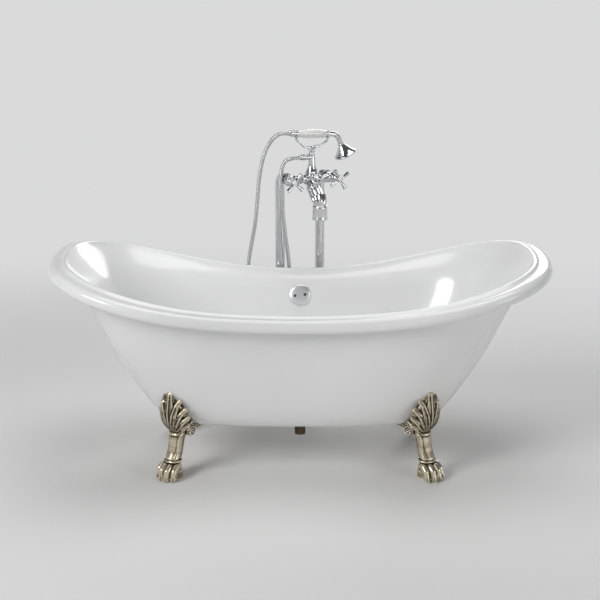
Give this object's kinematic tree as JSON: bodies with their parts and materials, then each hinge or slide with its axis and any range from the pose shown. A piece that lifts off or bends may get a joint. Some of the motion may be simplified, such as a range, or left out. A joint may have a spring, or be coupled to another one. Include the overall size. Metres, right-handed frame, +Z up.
{
  "type": "bathtub with mixer tap",
  "caption": "Double-slipper bathtub with a rolled rim on lion-paw feet, with a floor-standing bath and shower mixer and its hand shower.",
  "frame": {"origin": "on the floor under the middle of the tub", "axes": "+X along the tub, -Y the side that faces the bather and the picture, +Z up; the mixer stands on the +Y side"},
  "size_m": [1.7522, 0.9297, 1.1459],
  "materials": {
    "tub": "glossy white acrylic",
    "board": "raw plywood",
    "bronze": "antique bronze, dark in the hollows",
    "zinc": "zinc plated",
    "chrome": "polished",
    "hose_metal": "wound metal strip, polished",
    "ceramic": "glazed white ceramic",
    "brass": "turned",
    "dark_plastic": "moulded",
    "rubber": "matt black"
  },
  "bodies": {
    "tub": {"basin_shell": "tub", "outer_skirt": "tub", "base_board": "board", "claw_foot_front_left": "bronze", "claw_foot_front_right": "bronze", "claw_foot_rear_left": "bronze", "claw_foot_rear_right": "bronze", "foot_bolts": "zinc", "foot_washers": "zinc", "foot_inserts": "zinc", "floor_flange_left": "chrome", "floor_flange_right": "chrome", "standpipe_left": "chrome", "standpipe_right": "chrome", "union_nut_left": "chrome", "union_nut_right": "chrome", "mixer_body": "chrome", "valve_bonnet_hot": "chrome", "valve_bonnet_cold": "chrome", "spout": "chrome", "spout_collar": "chrome", "cradle_column": "chrome", "cradle_yoke": "chrome", "hose_nut_mixer": "chrome", "overflow_cover": "chrome", "overflow_screws": "chrome", "waste_flange": "chrome", "shower_hose": "hose_metal", "supply_adaptors": "brass", "overflow_pipe": "brass", "waste_tailpiece": "brass", "waste_locknut": "brass", "waste_tee": "brass", "spout_aerator": "dark_plastic", "plug_guide": "dark_plastic", "overflow_box": "dark_plastic", "waste_seal_upper": "rubber", "waste_seal_lower": "rubber", "overflow_gasket": "rubber"},
    "hot_valve": {"valve_spindle_hot": "brass", "cross_handle_hot": "chrome", "handle_button_hot": "ceramic"},
    "cold_valve": {"valve_spindle_cold": "brass", "cross_handle_cold": "chrome", "handle_button_cold": "ceramic"},
    "diverter": {"diverter_spindle": "brass", "diverter_knob": "chrome"},
    "handset": {"handset_grip": "ceramic", "ferrule_left": "chrome", "ferrule_right": "chrome", "hose_nut_handset": "chrome", "handset_neck": "chrome", "shower_head": "chrome", "spray_plate": "chrome"},
    "plug": {"waste_plug": "chrome", "plug_seal": "rubber"}
  },
  "joints": [
    {"name": "hot_handle_turn", "type": "hinge", "parent": "tub", "child": "hot_valve", "pos_m": [-0.02089, 0.25975, 0.958], "axis": [0.4226, -0.9063, 0], "range_deg": [-90, 0]},
    {"name": "cold_handle_turn", "type": "hinge", "parent": "tub", "child": "cold_valve", "pos_m": [0.14768, 0.33836, 0.958], "axis": [0.4226, -0.9063, 0], "range_deg": [0, 90]},
    {"name": "diverter_turn", "type": "hinge", "parent": "tub", "child": "diverter", "pos_m": [0.05917, 0.30812, 0.97], "axis": [0.4226, -0.9063, 0], "range_deg": [0, 90]},
    {"name": "handset_lift", "type": "slide", "parent": "tub", "child": "handset", "axis": [0, 0, 1], "range_m": [0, 0.08], "deforming": ["shower_hose"]},
    {"name": "plug_lift", "type": "slide", "parent": "tub", "child": "plug", "axis": [0, 0, 1], "range_m": [0, 0.008]}
  ]
}
